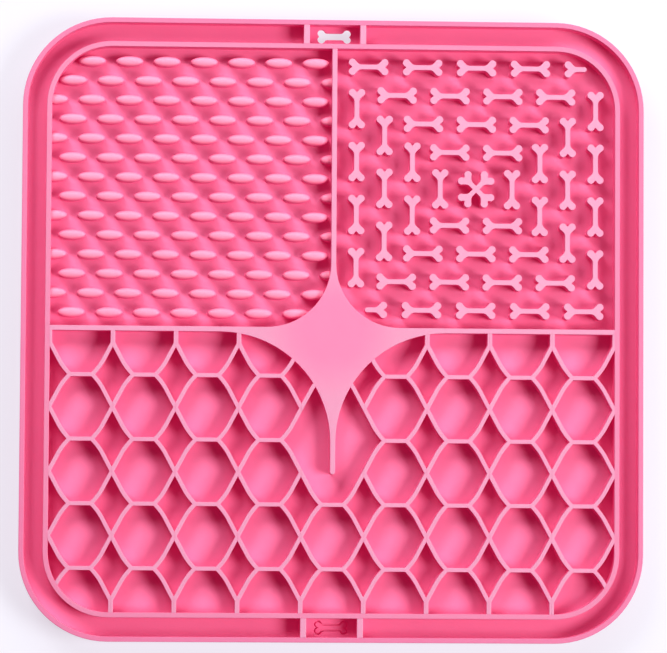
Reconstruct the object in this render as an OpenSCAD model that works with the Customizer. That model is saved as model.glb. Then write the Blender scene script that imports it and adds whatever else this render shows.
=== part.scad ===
// Square moulded silicone lick mat with four feeding zones: rice-grain nubs, bones,
// and a honeycomb over the whole lower half, with a four-pointed star where they meet.
// Millimetres, +Z up. The origin is the centre of the plane that the mat rests on.

/* [Mat] */
// Width and length of the square mat, over the outer rim
mat_w = 200; // [192:1:230]
// Outer corner radius, seen from above
corner_r = 28.5; // [24:0.5:31]
// Thickness of the floor sheet
sheet_t = 2; // [1.5:0.1:3.5]
// Height of the rims, dividers, bones and honeycomb above the floor
wall_h = 5.5; // [4.6:0.1:8]

/* [Rims] */
// Thickness of the outer rim
outer_rim_t = 1.6; // [1.2:0.1:2.4]
// Width of the drip channel between the two rims
channel_w = 6.1; // [5.6:0.1:8]
// Thickness of the inner rim
inner_rim_t = 1.6; // [1.2:0.1:2.4]
// Thickness of the walls between the zones
divider_t = 1.6; // [1.2:0.1:2.2]

/* [Centre star] */
// Radius of the two upper hollows of the star
star_top_r = 20.6; // [16:0.2:24]
// Radius of the two lower hollows of the star
star_foot_r = 35.3; // [30:0.2:40]
// Distance from the centre of the mat to the end of the star's tail
tail_reach = 46.3; // [44:0.1:52]

/* [Channel pockets] */
// Clear length of the pocket in the middle of the top and bottom channel
pocket_len = 16.2; // [14:0.2:24]
// Thickness of the ribs at the ends of a pocket
pocket_rib_t = 1.95; // [1.4:0.05:3]
// Overall length of the bone-shaped hang hole
hang_len = 10.8; // [9:0.1:13]
// Radius of the lobes of the hang hole
hang_lobe_r = 1.25; // [1.2:0.05:1.5]
// Distance from the middle line of the hang hole to the middle of a lobe
hang_lobe_y = 1; // [0.9:0.05:1.1]
// Width of the arms that carry the lobes of the hang hole
hang_arm_w = 2.2; // [1.8:0.1:2.2]
// Width of the shaft of the hang hole
hang_shaft_w = 2.3; // [1.8:0.1:2.6]
// Radius of the hollows between the shaft and the arms of the hang hole
hang_neck_r = 1.4; // [0.8:0.1:1.8]
// Depth of the outline groove of the blind bone in the bottom pocket
groove_depth = 0.9; // [0.5:0.1:1.2]
// Width of that outline groove
groove_w = 0.45; // [0.3:0.05:0.6]
// How far the middle of the blind bone lies below the floor
island_drop = 0.3; // [0.1:0.05:0.4]

/* [Nubs] */
// Length of a rice-grain nub
nub_len = 8.8; // [7:0.1:10]
// Width of a nub
nub_w = 3.3; // [2.6:0.1:4]
// Width of the blunt tips of a nub
nub_tip_w = 0.6; // [0.3:0.1:1]
// Height of the upright foot of a nub, below its domed top
nub_foot_h = 2.5; // [1.5:0.1:2.8]
// Spacing of the nubs along a row
nub_pitch = 12; // [11:0.1:14]
// Spacing of the rows
nub_row_pitch = 6.225; // [5.6:0.025:7.5]
// Height of the lowest row above the centre line of the mat
nub_first_row = 5.2; // [4.8:0.1:6]

/* [Bones] */
// Overall length of a bone
bone_len = 12.8; // [11:0.1:14]
// Radius of a lobe of a bone
lobe_r = 1.2; // [1.14:0.02:1.42]
// Distance from the middle line of a bone to the middle of a lobe
lobe_y = 1.46; // [1.3:0.01:1.6]
// Width of the arm that carries a lobe
arm_w = 2.25; // [1.9:0.05:2.25]
// Width of the shaft of a bone
shaft_w = 1.6; // [1.3:0.05:2]
// Radius of the hollows between the shaft and the arms of a bone
neck_r = 1.7; // [1:0.1:2.2]
// Spacing of the bones along a ring
bone_pitch = 17.1; // [16.6:0.05:18]
// Spacing of the bones along the top and bottom rows of the outer ring
outer_row_pitch = 17.45; // [17:0.05:18]
// Distance sideways from the middle of the crossed bones to the first ring
ring_start_x = 11.6; // [11:0.1:13]
// Distance up the mat from the middle of the crossed bones to the first ring
ring_start_y = 11.8; // [11.4:0.1:12.2]
// Distance from the side walls of the zone to the middle lines of the outer ring's bones
bone_margin_x = 6.35; // [5.8:0.05:7.5]
// Distance from the zone's top and bottom walls to the middle lines of the outer ring's bones
bone_margin_y = 5.76; // [5.2:0.01:7]

/* [Honeycomb] */
// Number of honeycomb columns
columns = 9; // [9]
// Spacing of the honeycomb cells up the mat
cell_pitch = 20.6; // [19.6:0.1:21.4]
// Thickness of the honeycomb walls
web_t = 1.35; // [1:0.05:1.8]
// Length of the level bars, between the middles of the walls they join
bar_len = 7.1; // [6:0.1:8.4]
// Angle of the slanting walls above the level
web_angle = 62; // [60:0.5:66]

/* [Suction cups] */
// Cups along each side of the underside
cups_per_side = 5; // [4:1:6]
// Spacing of the cups
cup_pitch = 37; // [34:0.5:38]
// Height of a cup, from the resting plane to the sheet
cup_h = 2.5; // [2:0.1:4]
// Outer diameter of a cup's lip
cup_d = 17; // [12:0.5:20]
// Diameter of a cup where it joins the sheet
cup_neck_d = 9; // [6:0.5:10]
// Thickness of a cup's lip
cup_lip_t = 0.6; // [0.4:0.1:0.9]
// Depth of the hollow under a cup
cup_hollow_h = 1.5; // [1:0.1:1.7]

/* [Hidden] */
$fn = 48;

// Levels above the resting plane
sheet_z = cup_h;
floor_z = sheet_z + sheet_t;
top_z = floor_z + wall_h;

// Half widths of the faces of the two rims, from the centre of the mat
outer_half = mat_w / 2;
channel_out = outer_half - outer_rim_t;
channel_in = channel_out - channel_w;
inner_half = channel_in - inner_rim_t;
inner_corner_r = corner_r - (outer_half - inner_half);
corner_at = outer_half - corner_r;
channel_mid = (channel_out + channel_in) / 2;
half_t = divider_t / 2;

// Middle and half width of the bone zone, and the number of rings in it
zone_mid = (inner_half + half_t) / 2;
zone_half = (inner_half - half_t) / 2;
bone_rings = 4;

// Extra length that lets a cut pass right through a solid
overrun = 1;
// Steps along each hollow of the star
star_steps = 18;
// Steps along the curved end of a honeycomb wall
web_steps = 7;
// Steps along the hollow between the shaft and an arm of a bone
neck_steps = 5;
// Share of the wall's rise at which a honeycomb wall starts to curve
web_curve_share = 0.545;
// Share of a nub's length by which its middle may lie beyond a wall and still be kept
nub_cut_share = 0.27;
// Share of a bone's spacing by which a row of bones may pass the corners of its ring
row_spare_share = 0.2;

// Colours of the silicone, lit from above and down in the cells
skin_colour = "#ff93bd";
floor_colour = "#ec5f91";

// Plan outlines

module rounded_square(half, r) {
    straight = 2 * (half - r);
    square([2 * half, straight], center = true);
    square([straight, 2 * half], center = true);
    for (sx = [-1, 1], sy = [-1, 1])
        translate([sx * (half - r), sy * (half - r)])
            circle(r = r);
}

module rounded_ring(half, r, wall) {
    difference() {
        rounded_square(half, r);
        rounded_square(half - wall, r - wall);
    }
}

// Points of a quarter circle that hollows a corner, from one tangent point to the other
function hollow(cx, cy, r, from) =
    [for (i = [0:star_steps]) let (a = from - 90 * i / star_steps)
        [cx + r * cos(a), cy + r * sin(a)]];

// Points of the half circle at the end of the tail
function tail_end(r) =
    [for (i = [1:star_steps - 1]) let (a = 180 + 180 * i / star_steps)
        [r * cos(a), r - tail_reach + r * sin(a)]];

top_c = half_t + star_top_r;
foot_c = half_t + star_foot_r;

function star_points() = concat(
    hollow(top_c, top_c, star_top_r, 270),
    hollow(-top_c, top_c, star_top_r, 0),
    [[-foot_c, half_t]],
    hollow(-foot_c, -foot_c, star_foot_r, 90),
    tail_end(half_t),
    hollow(foot_c, -foot_c, star_foot_r, 180),
    [[foot_c, half_t]]);

module star_outline() {
    polygon(star_points());
}

// Points mirrored sideways, or up and down, and in the other order
function flip_x(points) = [for (i = [len(points) - 1:-1:0]) [-points[i][0], points[i][1]]];
function flip_y(points) = [for (i = [len(points) - 1:-1:0]) [points[i][0], -points[i][1]]];

// Points of the lower right quarter of a bone's outline: along the hollow between the shaft and
// an arm that leaves it at 45 degrees, and round the end of that arm
function arm_points(lx, ly, arm, shaft, neck) =
    let (
        side = arm / 2 * cos(45),
        x = lx - ly - 2 * side + shaft / 2 - neck * tan(22.5)
    )
    concat(
        [for (i = [0:neck_steps]) let (a = 45 * i / neck_steps)
            [x + neck * sin(a), -shaft / 2 - neck * (1 - cos(a))]],
        [[lx - side, -ly - side], [lx + side, side - ly]]);

// A bone along X: a shaft with two arms at each end, and a lobe round the end of each arm
module bone_plan(length, r, ly, arm, shaft, neck) {
    lx = length / 2 - r;
    notch = lx - ly + arm * cos(45);
    quarter = arm_points(lx, ly, arm, shaft, neck);
    right = concat(quarter, [[notch, 0]], flip_y(quarter));
    polygon(concat(right, flip_x(right)));
    for (sx = [-1, 1], sy = [-1, 1])
        translate([sx * lx, sy * ly])
            circle(r = r);
}

module bone() {
    bone_plan(bone_len, lobe_r, lobe_y, arm_w, shaft_w, neck_r);
}

// The end of a bone, cut short at its middle with a round end
module half_bone() {
    intersection() {
        bone();
        translate([0, -bone_len / 2])
            square([bone_len, bone_len]);
    }
    circle(d = shaft_w);
}

// The clear floor of the left upper zone
module nub_zone() {
    difference() {
        intersection() {
            rounded_square(inner_half, inner_corner_r);
            translate([-inner_half, half_t])
                square([inner_half - half_t, inner_half]);
        }
        star_outline();
    }
}

// Honeycomb

column_w = 2 * inner_half / columns;
rise = cell_pitch / 2;
node_x = (column_w - bar_len) / 2;
slope = 1 / tan(web_angle);
curve_at = rise * web_curve_share;
bend = (node_x - slope * rise) / pow(rise - curve_at, 2);
lower_mid = -(inner_half + half_t) / 2;

// Distance of a wall's middle line from the line between two columns, at a height
// above the crossing of the walls
function web_x(y) = slope * y + (y > curve_at ? bend * pow(y - curve_at, 2) : 0);
// Half of the wall's width there, measured level
function web_half(y) =
    let (lean = slope + (y > curve_at ? 2 * bend * (y - curve_at) : 0))
    web_t / 2 * sqrt(1 + lean * lean);

function web_levels(last) = concat([0], [for (i = [0:web_steps])
    curve_at + (last - curve_at) * i / web_steps]);

// Right half of a cell, above its middle
function cell_side() = [for (y = web_levels(rise - web_t / 2))
    [column_w / 2 - web_x(y) - web_half(y), y]];
// Right half of the pointed gap between four cells, below its middle
tip = web_half(0) / slope;
function gap_side() = concat([[0, tip]],
    [for (i = [0:web_steps]) let (y = curve_at + (rise - curve_at) * i / web_steps)
        [web_x(y) - web_half(y), y]]);
// Right side of the wide cell under the star, between two rows
function wide_side() = [for (y = web_levels(rise))
    [column_w / 2 + web_x(y) - web_half(y), -y]];

function drop(points, y) = [for (p = points) [p[0], p[1] + y]];

module half_cell() {
    polygon(concat(cell_side(), flip_x(cell_side())));
}

module cell() {
    polygon(concat(cell_side(), flip_x(cell_side()),
        [for (p = cell_side()) [-p[0], -p[1]]], flip_x([for (p = cell_side()) [-p[0], -p[1]]])));
}

// The half cells against the divider and the bottom rim, with upright sides there
module end_cell() {
    half_cell();
    side = column_w / 2 - web_half(0);
    translate([-side, -cell_pitch])
        square([2 * side, cell_pitch]);
}

module gap() {
    side = gap_side();
    above = flip_y(drop(side, -2 * rise));
    polygon(concat(side, above, flip_x(concat(side, above))));
}

// The wide cell under the star runs through two rows
module wide_cell() {
    right = concat(wide_side(), flip_y(drop(wide_side(), cell_pitch)));
    translate([0, cell_pitch]) {
        half_cell();
        polygon(concat(right, flip_x(right)));
    }
    mirror([0, 1])
        half_cell();
}

// One column of the honeycomb in plan, k columns from the middle one
module column_plan(k) {
    difference() {
        intersection() {
            rounded_square(inner_half, inner_corner_r);
            translate([(k - 0.5) * column_w, -inner_half])
                square([column_w, inner_half - half_t]);
        }
        translate([k * column_w, lower_mid]) {
            translate([0, 2 * cell_pitch])
                mirror([0, 1])
                    end_cell();
            translate([0, -2 * cell_pitch])
                end_cell();
            for (row = [-1:1])
                if (k != 0 || row < 0)
                    translate([0, row * cell_pitch])
                        cell();
            for (row = [-2:1], side = [-0.5, 0.5])
                if (k != 0 || row != 0)
                    translate([side * column_w, row * cell_pitch])
                        gap();
        }
        if (abs(k) <= 1)
            translate([0, lower_mid])
                wide_cell();
        if (abs(k) <= 2)
            star_outline();
    }
}

// Sub-parts

module base_sheet() {
    color(floor_colour) translate([0, 0, sheet_z]) {
        difference() {
            linear_extrude(sheet_t)
                rounded_square(outer_half, corner_r);
            translate([0, channel_mid, -overrun])
                linear_extrude(sheet_t + 2 * overrun)
                    hang_bone(0);
            translate([0, -channel_mid, sheet_t - groove_depth])
                linear_extrude(groove_depth + overrun)
                    hang_bone(0);
        }
        translate([0, -channel_mid, sheet_t - groove_depth])
            linear_extrude(groove_depth - island_drop)
                hang_bone(groove_w);
    }
}

// The bone outline of the hang hole, drawn in all round by a margin
module hang_bone(margin) {
    bone_plan(hang_len - 2 * margin, hang_lobe_r - margin, hang_lobe_y,
        hang_arm_w - 2 * margin, hang_shaft_w - 2 * margin, hang_neck_r + margin);
}

module outer_rim() {
    color(skin_colour) translate([0, 0, floor_z])
        linear_extrude(wall_h)
            rounded_ring(outer_half, corner_r, outer_rim_t);
}

module inner_rim() {
    color(skin_colour) translate([0, 0, floor_z])
        linear_extrude(wall_h)
            rounded_ring(channel_in, corner_r - (outer_half - channel_in), inner_rim_t);
}

module pocket_ribs(side) {
    color(skin_colour) translate([0, side * channel_mid, floor_z + wall_h / 2])
        for (sx = [-1, 1])
            translate([sx * (pocket_len + pocket_rib_t) / 2, 0, 0])
                cube([pocket_rib_t, channel_w, wall_h], center = true);
}

module top_pocket_ribs() {
    pocket_ribs(1);
}

module bottom_pocket_ribs() {
    pocket_ribs(-1);
}

module vertical_divider() {
    color(skin_colour) translate([-half_t, top_c, floor_z])
        cube([divider_t, inner_half - top_c, wall_h]);
}

module left_divider() {
    color(skin_colour) translate([-inner_half, -half_t, floor_z])
        cube([inner_half - foot_c, divider_t, wall_h]);
}

module right_divider() {
    color(skin_colour) translate([foot_c, -half_t, floor_z])
        cube([inner_half - foot_c, divider_t, wall_h]);
}

module centre_star() {
    color(skin_colour) translate([0, 0, floor_z])
        linear_extrude(wall_h)
            star_outline();
}

// A nub: an upright foot with a narrow oval plan, and a spindle lying along its top
nub_bulge = (nub_w - nub_tip_w) / 2;
nub_arc_r = (pow(nub_len / 2, 2) + pow(nub_bulge, 2)) / (2 * nub_bulge);

module nub() {
    linear_extrude(nub_foot_h)
        intersection() {
            translate([0, nub_arc_r - nub_w / 2])
                circle(r = nub_arc_r);
            translate([0, nub_w / 2 - nub_arc_r])
                circle(r = nub_arc_r);
            square([nub_len, nub_w], center = true);
        }
    translate([0, 0, nub_foot_h])
        rotate([0, -90, 0])
            rotate([0, 0, -90])
                rotate_extrude(angle = 180)
                    intersection() {
                        translate([nub_w / 2 - nub_arc_r, 0])
                            circle(r = nub_arc_r);
                        translate([0, -nub_len / 2])
                            square([nub_w, nub_len]);
                    }
}

nub_rows = floor((inner_half - nub_w / 2 - nub_first_row) / nub_row_pitch) + 1;
nub_columns = ceil(inner_half / nub_pitch);

// How far a point is outside a round corner or hollow of the zone, or far inside it
function past_corner(x, y) = x < -corner_at && y > corner_at ?
    norm([x + corner_at, y - corner_at]) - inner_corner_r : -nub_len;
function past_star(x, y) = x > -top_c && y < top_c ?
    norm([x + top_c, y - top_c]) - star_top_r : -nub_len;
function past_sides(x) = max(x + half_t, -inner_half - x);
function past_zone(x, y) = max(past_corner(x, y), past_star(x, y), past_sides(x));

// Rows of nubs, shifted by half a pitch in turn. A nub that meets a wall is cut by it.
module nub_field() {
    color(skin_colour) translate([0, 0, floor_z])
        for (row = [0:nub_rows - 1], column = [0:nub_columns]) {
            x = -nub_pitch * (column + (row % 2) / 2);
            y = nub_first_row + row * nub_row_pitch;
            past = past_zone(x, y);
            if (past < -nub_len / 2)
                translate([x, y, 0])
                    nub();
            else if (past < nub_len * nub_cut_share)
                intersection() {
                    translate([x, y, 0])
                        nub();
                    linear_extrude(wall_h)
                        nub_zone();
                }
        }
}

module crossed_bones() {
    color(skin_colour) translate([zone_mid, zone_mid, floor_z])
        linear_extrude(wall_h)
            for (a = [45, 135])
                rotate(a)
                    bone();
}

// Half of the width over the lobes of a bone
lobe_reach = lobe_y + lobe_r;

// Distance of ring k from the middle of the zone, evenly spaced out to the outer ring
function ring_reach(k, start, margin) =
    start + (zone_half - margin - start) * (k - 1) / (bone_rings - 1);

// The number of bones, less one, that fit end to end in a space
function bone_gaps(space, pitch) = floor((space - bone_len) / pitch);

// Ring k of bones: a row along the top and the bottom, and a shorter one up each side.
// In the outer ring the top row's last bone and the bottom row's first are cut short.
module bone_ring(k) {
    outer = k == bone_rings;
    reach_x = ring_reach(k, ring_start_x, bone_margin_x);
    reach_y = ring_reach(k, ring_start_y, bone_margin_y);
    row_pitch = outer ? outer_row_pitch : bone_pitch;
    row = bone_gaps(2 * (reach_x + lobe_reach) + row_spare_share * row_pitch, row_pitch);
    side = bone_gaps(2 * (reach_y - lobe_reach), bone_pitch);
    color(skin_colour) translate([zone_mid, zone_mid, floor_z])
        linear_extrude(wall_h) {
            for (s = [-1, 1], i = [0:row])
                translate([s * (i - row / 2) * row_pitch, s * reach_y])
                    if (outer && i == row)
                        rotate(90 + 90 * s)
                            half_bone();
                    else
                        bone();
            for (s = [-1, 1], i = [0:side])
                translate([s * reach_x, (i - side / 2) * bone_pitch])
                    rotate(90)
                        bone();
        }
}

module honeycomb_column(n) {
    color(skin_colour) translate([0, 0, floor_z])
        linear_extrude(wall_h)
            column_plan(n - (columns + 1) / 2);
}

// A cup: a flaring wall round a domed hollow
module suction_cup() {
    lip_r = cup_d / 2;
    hollow_r = lip_r - cup_lip_t;
    dome_r = (pow(hollow_r, 2) + pow(cup_hollow_h, 2)) / (2 * cup_hollow_h);
    rotate_extrude()
        difference() {
            polygon([
                [0, 0], [lip_r, 0], [lip_r, cup_lip_t], [cup_neck_d / 2, cup_h], [0, cup_h]
            ]);
            translate([0, cup_hollow_h - dome_r])
                circle(r = dome_r);
        }
}

module suction_cups() {
    color(floor_colour)
        for (ix = [0:cups_per_side - 1], iy = [0:cups_per_side - 1])
            translate([ix - (cups_per_side - 1) / 2, iy - (cups_per_side - 1) / 2] * cup_pitch)
                suction_cup();
}

base_sheet();
outer_rim();
inner_rim();
top_pocket_ribs();
bottom_pocket_ribs();
vertical_divider();
left_divider();
right_divider();
centre_star();
nub_field();
crossed_bones();
bone_ring(1);  // bone_ring_1
bone_ring(2);  // bone_ring_2
bone_ring(3);  // bone_ring_3
bone_ring(4);  // bone_ring_4
honeycomb_column(1);  // honeycomb_column_1
honeycomb_column(2);  // honeycomb_column_2
honeycomb_column(3);  // honeycomb_column_3
honeycomb_column(4);  // honeycomb_column_4
honeycomb_column(5);  // honeycomb_column_5
honeycomb_column(6);  // honeycomb_column_6
honeycomb_column(7);  // honeycomb_column_7
honeycomb_column(8);  // honeycomb_column_8
honeycomb_column(9);  // honeycomb_column_9
suction_cups();
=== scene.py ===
"""The looks of the lick mat: rounded moulded walls, rice-grain nubs, bones and suction cups
in soft pink silicone, seen from above on a pale floor."""

import math

import bpy
from mathutils import Euler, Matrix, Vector


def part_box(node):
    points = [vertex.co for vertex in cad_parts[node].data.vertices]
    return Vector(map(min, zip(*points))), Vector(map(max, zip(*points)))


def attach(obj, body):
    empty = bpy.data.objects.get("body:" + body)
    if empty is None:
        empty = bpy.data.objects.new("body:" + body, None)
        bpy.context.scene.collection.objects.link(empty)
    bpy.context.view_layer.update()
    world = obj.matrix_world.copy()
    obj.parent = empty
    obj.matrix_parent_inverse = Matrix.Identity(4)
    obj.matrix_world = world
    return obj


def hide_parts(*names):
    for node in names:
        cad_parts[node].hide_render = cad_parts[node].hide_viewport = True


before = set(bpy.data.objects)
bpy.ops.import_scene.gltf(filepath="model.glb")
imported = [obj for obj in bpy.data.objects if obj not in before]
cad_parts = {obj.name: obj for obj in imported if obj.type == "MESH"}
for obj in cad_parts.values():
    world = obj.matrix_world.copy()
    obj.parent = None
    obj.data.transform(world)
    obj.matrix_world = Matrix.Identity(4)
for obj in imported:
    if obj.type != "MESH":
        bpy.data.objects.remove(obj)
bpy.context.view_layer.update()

MM = 0.001

# Levels and main sizes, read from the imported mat
SHEET_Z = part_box("base_sheet")[0].z
FLOOR_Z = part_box("base_sheet")[1].z
TOP_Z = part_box("outer_rim")[1].z
# Half the thickness of a divider, and how far the zones reach from the middle of the mat
HALF_T, INNER_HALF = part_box("vertical_divider")[1].xy

COLUMNS = [f"honeycomb_column_{n}" for n in range(1, 10)]
INNER_WALLS = ["inner_rim", "centre_star", "vertical_divider", "left_divider", "right_divider"]
OTHER_WALLS = ["outer_rim", "top_pocket_ribs", "bottom_pocket_ribs", *COLUMNS]
BONES = ["crossed_bones", "bone_ring_1", "bone_ring_2", "bone_ring_3", "bone_ring_4"]

# How far walls run into each other before they are fused
SEAT = 0.02 * MM
# How much larger than its node the room is that takes the node's share out of the fused walls
ROOM = 0.04 * MM
# Points closer than these are merged: on a solid's copy, on a spun shape, on the fused walls, and
# where the fused walls were cut apart
MERGE = 0.001 * MM
SPIN_MERGE = 0.002 * MM
SKIN_MERGE = 0.06 * MM
CUT_MERGE = 0.03 * MM
# Marks for the faces of the fused walls, while each node's share is cut out of them
MARKS = ("outer face", "cut face")

# Rounding of the top edges, and into how many faces
WALL_EDGE = 0.15 * MM
BONE_EDGE = 0.13 * MM
EDGE_STEPS = 4
# Edges that bend less than this are shaded smooth, on the cut walls and on the round forms
WALL_ANGLE = math.radians(26)
ROUND_ANGLE = math.radians(40)
# Faces within this angle of each other, in radians, count as one flat face
FLAT = 0.003
# The upward part of a face's normal: less is an upright face, and more is a flat one
UPRIGHT = 0.5
LEVEL = 0.99
# How far from a level a flat face may lie and still count as one at that level
LEVEL_SLACK = 0.01 * MM
# Level of the nubs' tops
NUB_TOP_Z = 8.65 * MM


# Ways of working

def deselect_all():
    """Leaves nothing selected."""
    for piece in bpy.context.selected_objects:
        piece.select_set(False)


def pick(piece):
    """Makes a piece the only selected one."""
    deselect_all()
    piece.select_set(True)
    bpy.context.view_layer.objects.active = piece


def edit(kind="FACE"):
    """Goes into edit mode to work on faces, edges or points."""
    bpy.ops.object.mode_set(mode="EDIT")
    bpy.ops.mesh.select_mode(type=kind)


def leave():
    """Goes back to object mode."""
    bpy.ops.object.mode_set(mode="OBJECT")


def added(name):
    """The primitive just added, under its name."""
    piece = bpy.context.active_object
    piece.name = name
    piece.data.name = name
    return piece


def select_faces(piece, wanted):
    """Selects the faces that a test wants, in face mode, and stays in edit mode."""
    pick(piece)
    edit("FACE")
    bpy.ops.mesh.select_all(action="DESELECT")
    leave()
    for face in piece.data.polygons:
        face.select = wanted(face)
    edit("FACE")


def select_edges(piece, wanted):
    """Selects the edges whose two ends pass a test, in edge mode, and stays in edit mode."""
    pick(piece)
    edit("EDGE")
    bpy.ops.mesh.select_all(action="DESELECT")
    leave()
    points = piece.data.vertices
    for line in piece.data.edges:
        line.select = wanted(points[line.vertices[0]].co, points[line.vertices[1]].co)
    edit("EDGE")


def clean(piece, merge=MERGE):
    """Merges double points, takes out slivers and makes each flat face a whole one."""
    pick(piece)
    edit("VERT")
    bpy.ops.mesh.select_all(action="SELECT")
    bpy.ops.mesh.remove_doubles(threshold=merge)
    bpy.ops.mesh.dissolve_degenerate(threshold=merge)
    bpy.ops.mesh.select_all(action="SELECT")
    bpy.ops.mesh.dissolve_limited(angle_limit=FLAT)
    bpy.ops.mesh.select_all(action="SELECT")
    bpy.ops.mesh.delete_loose()
    leave()


def copy_node(node, name):
    """A copy of a CAD node's solid, merged, to work on."""
    piece = bpy.data.objects.new(name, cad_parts[node].data.copy())
    piece.data.name = name
    piece.data.materials.clear()
    bpy.context.scene.collection.objects.link(piece)
    clean(piece)
    return piece


def duplicate(piece, name):
    """A second piece with its own mesh."""
    other = bpy.data.objects.new(name, piece.data.copy())
    other.data.name = name
    bpy.context.scene.collection.objects.link(other)
    return other


def remove(piece):
    """Takes a tool piece away."""
    bpy.data.objects.remove(piece)


def apply_boolean(piece, tools, operation):
    """Fuses, cuts or keeps what is common with other pieces."""
    group = bpy.data.collections.new("tools")
    bpy.context.scene.collection.children.link(group)
    for tool in tools:
        group.objects.link(tool)
    pick(piece)
    step = piece.modifiers.new("fuse", "BOOLEAN")
    step.operation = operation
    step.solver = "EXACT"
    step.operand_type = "COLLECTION"
    step.material_mode = "TRANSFER"
    step.collection = group
    bpy.ops.object.modifier_apply(modifier=step.name)
    bpy.data.collections.remove(group)


def fuse(pieces, name):
    """Joins separate pieces into one object."""
    deselect_all()
    for piece in pieces:
        piece.select_set(True)
    bpy.context.view_layer.objects.active = pieces[0]
    bpy.ops.object.join()
    return added(name)


def rims_of_flats(piece, level, up=1):
    """Keys of the edges round the flat faces at a level that look up, or down."""
    count = {}
    for face in piece.data.polygons:
        if face.normal.z * up > LEVEL and abs(face.center.z - level) < LEVEL_SLACK:
            for key in face.edge_keys:
                count[key] = count.get(key, 0) + 1
    return {key for key, times in count.items() if times == 1}


def round_off(width, steps):
    """Rounds the selected edges."""
    bpy.ops.mesh.bevel(
        offset=width, segments=steps, profile=0.5, clamp_overlap=False, loop_slide=False
    )


def round_rims(piece, rims, width, steps):
    """Rounds the edges with the given keys."""
    pick(piece)
    edit("EDGE")
    bpy.ops.mesh.select_all(action="DESELECT")
    leave()
    for line in piece.data.edges:
        line.select = line.key in rims
    edit("EDGE")
    round_off(width, steps)
    leave()


def round_top_edges(piece, width):
    """Rounds the edges between the flat tops and the upright walls."""
    round_rims(piece, rims_of_flats(piece, TOP_Z), width, EDGE_STEPS)


def draw_line(name, points):
    """A line from point to point, drawn from a small plane that is merged to its middle."""
    bpy.ops.mesh.primitive_plane_add(size=MM, location=(0, 0, 0))
    line = added(name)
    edit("VERT")
    bpy.ops.mesh.merge(type="CENTER")
    bpy.ops.transform.translate(value=points[0])
    for start, end in zip(points, points[1:]):
        step = Vector(end) - Vector(start)
        bpy.ops.mesh.extrude_region_move(TRANSFORM_OT_translate={"value": step})
    leave()
    return line


def close_up(piece):
    """Merges the points where a spun shape meets itself and turns its faces outwards."""
    pick(piece)
    edit("VERT")
    bpy.ops.mesh.select_all(action="SELECT")
    bpy.ops.mesh.remove_doubles(threshold=SPIN_MERGE)
    bpy.ops.mesh.normals_make_consistent(inside=False)
    leave()


def set_out(piece, places, name):
    """Copies a piece to each place, each copy with its own mesh, and joins the copies."""
    copies = []
    for place in places:
        other = duplicate(piece, name)
        other.location = place
        copies.append(other)
    deselect_all()
    for other in copies:
        other.select_set(True)
    bpy.context.view_layer.objects.active = copies[0]
    bpy.ops.object.transform_apply(location=True, rotation=False, scale=False)
    return fuse(copies, name)


def smooth(piece, angle=ROUND_ANGLE):
    """Smooth shading up to the true edges and round cut faces, with the flat faces kept flat."""
    pick(piece)
    bpy.ops.object.shade_smooth_by_angle(angle=angle)
    if len(piece.data.materials) > 1:
        select_faces(piece, lambda face: face.material_index > 0)
        bpy.ops.mesh.region_to_loop()
        bpy.ops.mesh.mark_sharp()
        leave()
    step = piece.modifiers.new("keep flat", "WEIGHTED_NORMAL")
    step.keep_sharp = True
    bpy.ops.object.modifier_apply(modifier=step.name)


def hand_over(piece, finish, node):
    """Gives a piece its one finish and puts it in the place of its CAD node."""
    piece.data.materials.clear()
    piece.data.materials.append(finish)
    for face in piece.data.polygons:
        face.material_index = 0
    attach(piece, "root")
    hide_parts(node)


# Finishes

# The deep base pink, and each part's top pink: the tops are painted paler than the base, as
# painted light on the thin tops
DEEP_PINK = (0.61, 0.23, 0.35)
THIN_PINK = (0.5, 0.325, 0.415)
BONE_PINK = (0.51, 0.34, 0.43)
INNER_RIM_PINK = (0.5, 0.265, 0.36)
OUTER_RIM_PINK = (0.5, 0.235, 0.34)
STAR_PINK = (0.55, 0.265, 0.38)
NUB_PINK = (0.76, 0.325, 0.42)
# Painted glow: a faint red emission on all the silicone that stands in for light travelling
# inside the rubber and leaving it in the shade
GLOW = (0.22, 0.002, 0.045)
# Where the star's thick middle keeps a deeper pink, and where its thin points are painted paler,
# as painted light
STAR_THICK_R = 8 * MM
STAR_THIN_R = 24 * MM
# How close the noise is, of the clouds and the patches of sheen, and of the coarse and the fine
# grain that the mould leaves
CLOUD_SCALE = 45
PATCH_SCALE = 160
COARSE_GRAIN_SCALE = 700
FINE_GRAIN_SCALE = 5200
# The middle of a noise, and how much the patches change the roughness
NOISE_MIDDLE = 0.5
PATCH_STRENGTH = 0.16
# How silicone rubber bends and mirrors light, and how far light goes in below its skin
RUBBER_IOR = 1.41
RUBBER_GLOSS = 0.3
INNER_LIGHT = 0.12
INNER_LIGHT_RADII = (1.0, 0.35, 0.45)
INNER_LIGHT_REACH = 0.8 * MM
BUMP_STRENGTH = 0.12
BUMP_HEIGHT = 0.02 * MM


def mix_colours(tree, share, first, second):
    """A node that goes from the first colour to the second."""
    mix = tree.nodes.new("ShaderNodeMix")
    mix.data_type = "RGBA"
    factor, low, high = mix.inputs[0], mix.inputs[6], mix.inputs[7]
    for socket, value in ((factor, share), (low, first), (high, second)):
        if isinstance(value, bpy.types.NodeSocket):
            tree.links.new(value, socket)
        else:
            socket.default_value = value
    return mix.outputs[2]


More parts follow.
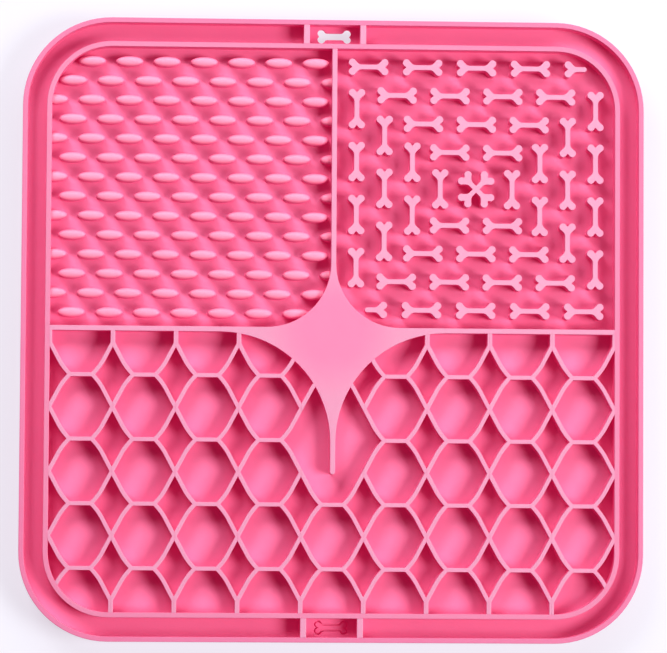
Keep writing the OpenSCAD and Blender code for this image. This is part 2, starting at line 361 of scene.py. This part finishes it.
def silicone_group():
    """The look that all the silicone shares: deep in colour at the floor and paler towards the
    thin tops as painted light, with clouds, a soft sheen and a fine mould grain."""
    group = bpy.data.node_groups.new("moulded silicone", "ShaderNodeTree")
    sockets = group.interface
    for name, kind, start in (
        ("Floor colour", "NodeSocketColor", (*DEEP_PINK, 1)),
        ("Top colour", "NodeSocketColor", (*THIN_PINK, 1)),
        ("Top", "NodeSocketFloat", TOP_Z),
        ("Top depth", "NodeSocketFloat", MM),
        ("Cloud", "NodeSocketFloat", 0.05),
        ("Roughness", "NodeSocketFloat", 0.45),
        ("Grain", "NodeSocketFloat", 0.5),
    ):
        socket = sockets.new_socket(name=name, in_out="INPUT", socket_type=kind)
        socket.default_value = start
    sockets.new_socket(name="Colour", in_out="OUTPUT", socket_type="NodeSocketColor")
    sockets.new_socket(name="Roughness", in_out="OUTPUT", socket_type="NodeSocketFloat")
    sockets.new_socket(name="Height", in_out="OUTPUT", socket_type="NodeSocketFloat")
    nodes, links = group.nodes, group.links
    given = nodes.new("NodeGroupInput")
    result = nodes.new("NodeGroupOutput")
    place = nodes.new("ShaderNodeTexCoord")

    def noise(scale, detail):
        cloud = nodes.new("ShaderNodeTexNoise")
        cloud.inputs["Scale"].default_value = scale
        cloud.inputs["Detail"].default_value = detail
        links.new(place.outputs["Object"], cloud.inputs["Vector"])
        return cloud.outputs["Fac"]

    def sum_up(operation, first, second):
        node = nodes.new("ShaderNodeMath")
        node.operation = operation
        for socket, value in zip(node.inputs, (first, second)):
            if isinstance(value, bpy.types.NodeSocket):
                links.new(value, socket)
            else:
                socket.default_value = value
        return node.outputs[0]

    apart = nodes.new("ShaderNodeSeparateXYZ")
    links.new(place.outputs["Object"], apart.inputs["Vector"])
    # Painted light: the colour turns from the floor colour to the paler top colour over the top
    # depth below the top
    painted_light_share = nodes.new("ShaderNodeMapRange")
    painted_light_share.interpolation_type = "SMOOTHSTEP"
    links.new(sum_up("SUBTRACT", given.outputs["Top"], given.outputs["Top depth"]),
              painted_light_share.inputs["From Min"])
    links.new(given.outputs["Top"], painted_light_share.inputs["From Max"])
    links.new(apart.outputs["Z"], painted_light_share.inputs["Value"])
    colour = mix_colours(group, painted_light_share.outputs["Result"], given.outputs["Floor colour"],
                         given.outputs["Top colour"])
    cloud = sum_up("SUBTRACT", noise(CLOUD_SCALE, 3), NOISE_MIDDLE)
    shade = sum_up("MULTIPLY", cloud, given.outputs["Cloud"])
    tint = nodes.new("ShaderNodeHueSaturation")
    links.new(sum_up("ADD", shade, 1), tint.inputs["Value"])
    links.new(sum_up("SUBTRACT", 1, shade), tint.inputs["Saturation"])
    links.new(colour, tint.inputs["Color"])
    links.new(tint.outputs["Color"], result.inputs["Colour"])
    patches = sum_up("SUBTRACT", noise(PATCH_SCALE, 2), NOISE_MIDDLE)
    patches = sum_up("MULTIPLY", patches, PATCH_STRENGTH)
    links.new(sum_up("ADD", given.outputs["Roughness"], patches), result.inputs["Roughness"])
    grain = sum_up("MULTIPLY", noise(FINE_GRAIN_SCALE, 1), given.outputs["Grain"])
    links.new(sum_up("ADD", grain, noise(COARSE_GRAIN_SCALE, 2)), result.inputs["Height"])
    return group


SKIN = silicone_group()


def silicone(
    name, painted_top_colour, cloud=0.05, roughness=0.45, grain=0.4, top=TOP_Z, top_depth=MM
):
    """A silicone finish, deep pink from the floor up and in its own paler pink at its top, which
    is painted light.
    """
    finish = bpy.data.materials.new(name)
    finish.use_nodes = True
    nodes, links = finish.node_tree.nodes, finish.node_tree.links
    shader = nodes["Principled BSDF"]
    shader.inputs["IOR"].default_value = RUBBER_IOR
    shader.inputs["Specular IOR Level"].default_value = RUBBER_GLOSS
    shader.inputs["Subsurface Weight"].default_value = INNER_LIGHT
    shader.inputs["Subsurface Radius"].default_value = INNER_LIGHT_RADII
    shader.inputs["Subsurface Scale"].default_value = INNER_LIGHT_REACH
    # Painted glow, so that the shade of the rubber reads red
    shader.inputs["Emission Color"].default_value = (*GLOW, 1)
    shader.inputs["Emission Strength"].default_value = 1
    finish.cycles.emission_sampling = "NONE"
    skin = nodes.new("ShaderNodeGroup")
    skin.name = "skin"
    skin.node_tree = SKIN
    skin.inputs["Floor colour"].default_value = (*DEEP_PINK, 1)
    skin.inputs["Top colour"].default_value = (*painted_top_colour, 1)
    skin.inputs["Top"].default_value = top
    skin.inputs["Top depth"].default_value = top_depth
    skin.inputs["Cloud"].default_value = cloud
    skin.inputs["Roughness"].default_value = roughness
    skin.inputs["Grain"].default_value = grain
    bump = nodes.new("ShaderNodeBump")
    bump.inputs["Strength"].default_value = BUMP_STRENGTH
    bump.inputs["Distance"].default_value = BUMP_HEIGHT
    links.new(skin.outputs["Colour"], shader.inputs["Base Color"])
    links.new(skin.outputs["Roughness"], shader.inputs["Roughness"])
    links.new(skin.outputs["Height"], bump.inputs["Height"])
    links.new(bump.outputs["Normal"], shader.inputs["Normal"])
    return finish


def paint_light_on_star_points(finish):
    """Paints light on the star's thin points: they are paler than its thick middle, which keeps a
    deeper pink.
    """
    nodes, links = finish.node_tree.nodes, finish.node_tree.links
    place = nodes.new("ShaderNodeTexCoord")
    level = nodes.new("ShaderNodeVectorMath")
    level.operation = "MULTIPLY"
    level.inputs[1].default_value = (1, 1, 0)
    links.new(place.outputs["Object"], level.inputs[0])
    distance = nodes.new("ShaderNodeVectorMath")
    distance.operation = "LENGTH"
    links.new(level.outputs["Vector"], distance.inputs[0])
    thick = nodes.new("ShaderNodeMapRange")
    thick.interpolation_type = "SMOOTHSTEP"
    thick.inputs["From Min"].default_value = STAR_THIN_R
    thick.inputs["From Max"].default_value = STAR_THICK_R
    links.new(distance.outputs["Value"], thick.inputs["Value"])
    thin_colour, thick_colour = (*THIN_PINK, 1), (*STAR_PINK, 1)
    colour = mix_colours(finish.node_tree, thick.outputs["Result"], thin_colour, thick_colour)
    links.new(colour, nodes["skin"].inputs["Top colour"])


wall_silicone = silicone("thin wall silicone", THIN_PINK)
inner_rim_silicone = silicone("inner rim silicone", INNER_RIM_PINK)
outer_rim_silicone = silicone("outer rim silicone", OUTER_RIM_PINK)
star_silicone = silicone("star silicone", THIN_PINK)
sheet_silicone = silicone("floor silicone", DEEP_PINK, cloud=0.07, roughness=0.48, grain=0.6)
# The nubs' domes are painted paler towards their tops, as painted light
nub_silicone = silicone(
    "nub silicone", NUB_PINK, roughness=0.42, grain=0.3, top=NUB_TOP_Z, top_depth=1.4 * MM
)
bone_silicone = silicone("bone silicone", BONE_PINK)
cup_silicone = silicone("cup silicone", DEEP_PINK, cloud=0.06, roughness=0.4, grain=0.3)
paint_light_on_star_points(star_silicone)
# The walls that differ from the thin ones
WALL_FINISHES = {
    "outer_rim": outer_rim_silicone,
    "inner_rim": inner_rim_silicone,
    "centre_star": star_silicone,
}


# Walls

def fused_walls():
    """The rims, ribs, dividers, star and honeycomb as one skin with rounded top edges."""
    walls = []
    for node in INNER_WALLS:
        wall = copy_node(node, "wall tool")
        select_faces(wall, lambda face: abs(face.normal.z) < UPRIGHT)
        bpy.ops.transform.shrink_fatten(value=SEAT)
        leave()
        walls.append(wall)
    for node in OTHER_WALLS:
        walls.append(copy_node(node, "wall tool"))
    skin = walls.pop(0)
    apply_boolean(skin, walls, "UNION")
    for wall in walls:
        remove(wall)
    clean(skin, SKIN_MERGE)
    round_top_edges(skin, WALL_EDGE)
    return skin


def node_share(skin, node):
    """The share of the fused skin that lies in one CAD node."""
    room = copy_node(node, "room tool")
    edit("VERT")
    bpy.ops.mesh.select_all(action="SELECT")
    bpy.ops.transform.shrink_fatten(value=ROOM, use_even_offset=True)
    leave()
    room.data.materials.append(bpy.data.materials[MARKS[1]])
    share = duplicate(skin, "soft_" + node)
    apply_boolean(share, [room], "INTERSECT")
    remove(room)
    clean(share, CUT_MERGE)
    return share


def make_walls():
    """The walls, each node's own share of the fused skin."""
    skin = fused_walls()
    for mark in MARKS:
        bpy.data.materials.new(mark)
    skin.data.materials.append(bpy.data.materials[MARKS[0]])
    for node in (*INNER_WALLS, *OTHER_WALLS):
        share = node_share(skin, node)
        smooth(share, WALL_ANGLE)
        hand_over(share, WALL_FINISHES.get(node, wall_silicone), node)
    remove(skin)
    for mark in MARKS:
        bpy.data.materials.remove(bpy.data.materials[mark])


# Bones

def make_bones():
    """The bones of each ring, with their top edges rounded."""
    for node in BONES:
        bones = copy_node(node, "soft_" + node)
        round_top_edges(bones, BONE_EDGE)
        smooth(bones, WALL_ANGLE)
        hand_over(bones, bone_silicone, node)


# Floor sheet

# Rounding of the sheet's lower edge and of the two bone shapes, and into how many faces
SHEET_EDGE = 0.5 * MM
SHEET_STEPS = 3
HOLE_EDGE = 0.12 * MM
HOLE_STEPS = 2
# How far the middle of the blind bone lies below the floor
ISLAND_DROP = 0.3 * MM
# Half the length of the pockets round the bone shapes, and how far out these reach at most
POCKET_HALF = 8 * MM
POCKET_REACH = 98.3 * MM


def make_sheet():
    """The floor sheet, with its lower edge and the edges of the two bone shapes rounded."""
    sheet = copy_node("base_sheet", "floor_sheet")

    def in_pocket(key):
        return all(
            abs(sheet.data.vertices[point].co.x) < POCKET_HALF
            and abs(sheet.data.vertices[point].co.y) < POCKET_REACH
            for point in key
        )

    for level, up in ((FLOOR_Z, 1), (FLOOR_Z - ISLAND_DROP, 1), (SHEET_Z, -1)):
        rims = rims_of_flats(sheet, level, up)
        round_rims(sheet, {key for key in rims if in_pocket(key)}, HOLE_EDGE, HOLE_STEPS)
    rims = rims_of_flats(sheet, SHEET_Z, -1)
    round_rims(sheet, {key for key in rims if not in_pocket(key)}, SHEET_EDGE, SHEET_STEPS)
    smooth(sheet)
    hand_over(sheet, sheet_silicone, "base_sheet")


# Suction cups

CUP_H = SHEET_Z
CUP_LIP_R = 8.5 * MM
CUP_NECK_R = 4.5 * MM
CUP_LIP_T = 0.6 * MM
CUP_NOSE = CUP_LIP_T / 3
CUP_HOLLOW_H = 1.5 * MM
# How sharply the back flares, and into how many lines the back and the hollow are drawn
CUP_FLARE_POWER = 1.25
CUP_BACK_STEPS = 5
CUP_HOLLOW_STEPS = 7
CUP_PITCH = 37 * MM
CUPS_PER_SIDE = 5
CUP_TURNS = 40


def make_cup():
    """One suction cup: a section with a flaring back and a domed hollow, spun round."""
    hollow_r = CUP_LIP_R - CUP_LIP_T
    dome_r = (hollow_r**2 + CUP_HOLLOW_H**2) / (2 * CUP_HOLLOW_H)
    section = [(0, CUP_H), (CUP_NECK_R, CUP_H)]
    for step in range(1, CUP_BACK_STEPS):
        share = step / CUP_BACK_STEPS
        section.append((
            CUP_NECK_R + (CUP_LIP_R - CUP_NOSE - CUP_NECK_R) * share,
            CUP_LIP_T + (CUP_H - CUP_LIP_T) * (1 - share) ** CUP_FLARE_POWER,
        ))
    section += [
        (CUP_LIP_R - CUP_NOSE, CUP_LIP_T),
        (CUP_LIP_R, CUP_LIP_T - CUP_NOSE),
        (CUP_LIP_R, CUP_NOSE),
        (CUP_LIP_R - CUP_NOSE, 0),
        (hollow_r, 0),
    ]
    for step in range(CUP_HOLLOW_STEPS - 1, -1, -1):
        x = hollow_r * step / CUP_HOLLOW_STEPS
        section.append((x, CUP_HOLLOW_H - dome_r + math.sqrt(dome_r**2 - x**2)))
    cup = draw_line("cup tool", [(x, 0, z) for x, z in section])
    edit("VERT")
    bpy.ops.mesh.select_all(action="SELECT")
    bpy.ops.mesh.spin(steps=CUP_TURNS, angle=2 * math.pi, center=(0, 0, 0), axis=(0, 0, 1))
    leave()
    close_up(cup)
    return cup


def make_cups():
    """The suction cups below the sheet, in a square grid."""
    cup = make_cup()
    middle = (CUPS_PER_SIDE - 1) / 2
    steps = [(n - middle) * CUP_PITCH for n in range(CUPS_PER_SIDE)]
    places = [(x, y, 0) for x in steps for y in steps]
    cups = set_out(cup, places, "cups_below")
    remove(cup)
    smooth(cups)
    hand_over(cups, cup_silicone, "suction_cups")


# Nubs

NUB_LEN = 8.8 * MM
NUB_W = 3.3 * MM
NUB_FOOT_H = 2.5 * MM
# How far the foot spreads at the floor
NUB_FLARE = 0.15 * MM
# How high the dome is, as a share of a round one
NUB_DOME_SHARE = 0.72
NUB_OUTLINE_STEPS = 10
NUB_SPIN_STEPS = 8
NUB_PITCH = 12 * MM
NUB_ROW_PITCH = 6.225 * MM
NUB_FIRST_ROW = 5.2 * MM
# A nub is left out where its middle lies outside the zone by more than this share of its length
NUB_CUT_SHARE = 0.27
NUB_ROWS = 14
NUB_COLUMNS = 8
# The round corner of the zone, and the star's hollow flank at the corner across
INNER_CORNER_R = 19.2 * MM
INNER_CORNER_STEPS = 24
INNER_CORNER_AT = INNER_HALF - INNER_CORNER_R
STAR_TOP_R = 20.6 * MM
STAR_TOP_AT = HALF_T + STAR_TOP_R


def nub_outline():
    """Half of a nub's long oval outline seen from above, from tip to tip."""
    turns = [math.pi * step / NUB_OUTLINE_STEPS for step in range(NUB_OUTLINE_STEPS + 1)]
    oval = [(NUB_LEN / 2 * math.cos(turn), NUB_W / 2 * math.sin(turn)) for turn in turns[1:-1]]
    return [(NUB_LEN / 2, 0), *oval, (-NUB_LEN / 2, 0)]


def make_nub():
    """One nub: half a spindle spun from its outline and a little flattened, on an upright foot
    that flares at the floor."""
    nub = draw_line("nub tool", [(x, y, NUB_FOOT_H) for x, y in nub_outline()])
    edit("VERT")
    bpy.ops.mesh.select_all(action="SELECT")
    middle = (0, 0, NUB_FOOT_H)
    bpy.ops.mesh.spin(steps=NUB_SPIN_STEPS, angle=math.pi, center=middle, axis=(-1, 0, 0))
    bpy.ops.mesh.select_all(action="SELECT")
    bpy.ops.mesh.remove_doubles(threshold=SPIN_MERGE)
    top = NUB_TOP_Z - FLOOR_Z
    bpy.ops.transform.resize(value=(1, 1, NUB_DOME_SHARE), center_override=(0, 0, top))
    leave()
    foot = top - NUB_W / 2 * NUB_DOME_SHARE
    select_edges(nub, lambda a, b: max(a.z, b.z) < foot + MERGE)
    drop = foot - NUB_FLARE
    bpy.ops.mesh.extrude_region_move(TRANSFORM_OT_translate={"value": (0, 0, -drop)})
    bpy.ops.mesh.extrude_region_move(TRANSFORM_OT_translate={"value": (0, 0, -NUB_FLARE)})
    wider = (1 + NUB_FLARE / NUB_LEN, 1 + NUB_FLARE / NUB_W, 1)
    bpy.ops.transform.resize(value=wider, center_override=(0, 0, 0))
    bpy.ops.mesh.edge_face_add()
    leave()
    close_up(nub)
    return nub


def past_zone(x, y):
    """How far a point lies outside the nubs' zone, at its corner, the star and its sides."""
    past = max(x + HALF_T, -INNER_HALF - x)
    if x < -INNER_CORNER_AT and y > INNER_CORNER_AT:
        corner = math.hypot(x + INNER_CORNER_AT, y - INNER_CORNER_AT)
        past = max(past, corner - INNER_CORNER_R)
    if x > -STAR_TOP_AT and y < STAR_TOP_AT:
        flank = math.hypot(x + STAR_TOP_AT, y - STAR_TOP_AT)
        past = max(past, flank - STAR_TOP_R)
    return past


def nub_zone():
    """The room over the nubs' floor, up to the walls, as a block to cut the nubs with."""
    low = Vector((-INNER_HALF - SEAT, HALF_T - SEAT, FLOOR_Z))
    high = Vector((-HALF_T + SEAT, INNER_HALF + SEAT, TOP_Z))
    bpy.ops.mesh.primitive_cube_add(size=1, location=(low + high) / 2, scale=high - low)
    zone = added("zone tool")
    bpy.ops.object.transform_apply(location=True, scale=True)
    left, top = low.x + SEAT, high.y - SEAT
    select_edges(zone, lambda a, b: max(a.x, b.x) < left and min(a.y, b.y) > top)
    round_off(INNER_CORNER_R, INNER_CORNER_STEPS)
    leave()
    star = copy_node("centre_star", "star tool")
    apply_boolean(zone, [star], "DIFFERENCE")
    remove(star)
    return zone


def make_nubs():
    """Rows of nubs, every other row half a pitch on. A nub that meets a wall is cut by it."""
    whole, cut = [], []
    for row in range(NUB_ROWS):
        for column in range(NUB_COLUMNS + 1):
            x = -NUB_PITCH * (column + (row % 2) / 2)
            y = NUB_FIRST_ROW + row * NUB_ROW_PITCH
            past = past_zone(x, y)
            if past < -NUB_LEN / 2 - NUB_FLARE:
                whole.append((x, y, FLOOR_Z))
            elif past < NUB_LEN * NUB_CUT_SHARE:
                cut.append((x, y, FLOOR_Z))
    nub = make_nub()
    nubs = set_out(nub, whole, "nubs whole")
    cut_nubs = set_out(nub, cut, "nubs cut")
    zone = nub_zone()
    apply_boolean(cut_nubs, [zone], "INTERSECT")
    remove(zone)
    remove(nub)
    nubs = fuse([nubs, cut_nubs], "rice_nubs")
    smooth(nubs)
    hand_over(nubs, nub_silicone, "nub_field")


# Floor, lights and camera

FLOOR_SIZE = 6
FLOOR_COLOUR = (0.145, 0.155, 0.165, 1)
FLOOR_GLOW = (0.74, 0.71, 0.765, 1)
FLOOR_ROUGHNESS = 0.8
SKY_COLOUR = (0.97, 0.96, 1, 1)
SKY_STRENGTH = 0.05
# The photograph is contrasty: its shadows are deeper than the light alone makes them
VIEW_GAMMA = 0.75
# Each light's name, its distance, azimuth and elevation in degrees, its width and height, its
# power and its colour
LIGHTS = (
    ("key from the right", (2, -13, 42), (0.85, 0.85), 47, (1, 0.99, 0.98)),
    ("long light from the top", (1.2, 82, 41), (1.4, 0.5), 10, (1, 0.98, 1)),
    ("upper left light", (1.2, 123, 40), (0.5, 0.5), 9, (1, 0.98, 1)),
)
CAMERA_PLACE = (-0.05973, -0.06564, 1.20671)
CAMERA_TURN = (3.171, -2.879, 0.349)
# The lens and the width of the film behind it, in millimetres as Blender takes them
LENS = 201.95
FILM_WIDTH = 36
NEAREST, FARTHEST = 0.01, 20


def make_floor():
    """A plain pale floor below the mat, lit softly from below like a shooting table."""
    bpy.ops.mesh.primitive_plane_add(size=FLOOR_SIZE, location=(0, 0, 0))
    floor = added("pale_floor")
    finish = bpy.data.materials.new("pale floor")
    finish.use_nodes = True
    shader = finish.node_tree.nodes["Principled BSDF"]
    shader.inputs["Roughness"].default_value = FLOOR_ROUGHNESS
    shader.inputs["Base Color"].default_value = FLOOR_COLOUR
    shader.inputs["Emission Color"].default_value = FLOOR_GLOW
    shader.inputs["Emission Strength"].default_value = 1
    finish.cycles.emission_sampling = "NONE"
    floor.data.materials.append(finish)


def area_light(name, place, size, power, colour):
    """A soft light of a given width and height, aimed at the mat."""
    lamp = bpy.data.lights.new(name, "AREA")
    lamp.shape = "RECTANGLE"
    lamp.size, lamp.size_y = size
    lamp.energy = power
    lamp.color = colour
    holder = bpy.data.objects.new(name, lamp)
    holder.location = place
    holder.rotation_euler = (-Vector(place)).to_track_quat("-Z", "Y").to_euler()
    bpy.context.scene.collection.objects.link(holder)


def polar(distance, azimuth, elevation):
    """The place at a distance from the mat in a direction, its two angles in degrees."""
    a, e = math.radians(azimuth), math.radians(elevation)
    return (
        distance * math.cos(e) * math.cos(a),
        distance * math.cos(e) * math.sin(a),
        distance * math.sin(e),
    )


def make_lights():
    """A large soft key light from the right, a long one from the top, a weaker one from the
    upper left and a faint sky."""
    for name, direction, size, power, colour in LIGHTS:
        area_light(name, polar(*direction), size, power, colour)
    world = bpy.data.worlds.new("pale sky")
    world.use_nodes = True
    sky = world.node_tree.nodes["Background"]
    sky.inputs["Color"].default_value = SKY_COLOUR
    sky.inputs["Strength"].default_value = SKY_STRENGTH
    bpy.context.scene.world = world
    bpy.context.scene.view_settings.view_transform = "Standard"
    bpy.context.scene.view_settings.gamma = VIEW_GAMMA


def make_camera():
    """The photograph's view, from almost straight above."""
    lens = bpy.data.cameras.new("camera above")
    lens.sensor_width = FILM_WIDTH
    lens.lens = LENS
    lens.clip_start = NEAREST
    lens.clip_end = FARTHEST
    holder = bpy.data.objects.new("camera above", lens)
    holder.location = CAMERA_PLACE
    holder.rotation_euler = Euler([math.radians(angle) for angle in CAMERA_TURN])
    bpy.context.scene.collection.objects.link(holder)
    bpy.context.scene.camera = holder


deselect_all()
make_camera()
make_lights()
make_floor()
make_walls()
make_bones()
make_nubs()
make_sheet()
make_cups()
